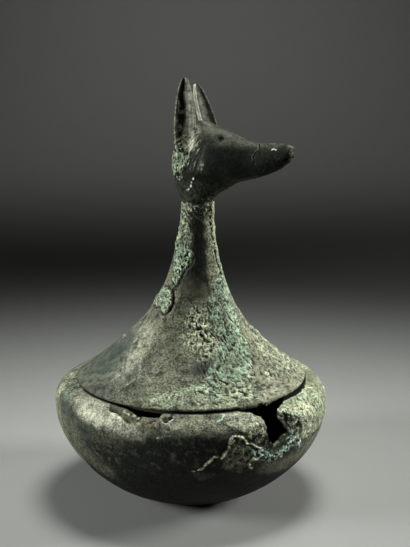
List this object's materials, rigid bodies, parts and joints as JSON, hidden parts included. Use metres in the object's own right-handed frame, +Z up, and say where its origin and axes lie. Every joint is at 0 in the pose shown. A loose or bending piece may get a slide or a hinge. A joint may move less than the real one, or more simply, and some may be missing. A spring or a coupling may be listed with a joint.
{
  "type": "lidded bronze vase",
  "caption": "Squat round bronze vase with a broken shoulder and a hollow trumpet-shaped lid, topped by a jackal's head, that lifts off.",
  "frame": {"origin": "centre of the flat spot under the bowl that it stands on, on the bowl's axis", "axes": "+Z up through the lid's neck, -Y towards the front, and the jackal looks towards +X turned about 30 degrees to the front"},
  "size_m": [0.1207, 0.1197, 0.184],
  "materials": {
    "bowl_bronze": "bronze under pale grey-green corrosion, with rough cream and turquoise crust",
    "lid_bronze": "bronze under matt green corrosion, with thick crust up the neck",
    "head_bronze": "smooth dark bronze with a soft sheen"
  },
  "bodies": {
    "root": {"bowl": "bowl_bronze", "lid": "lid_bronze", "jackal_head": "head_bronze"}
  },
  "joints": []
}
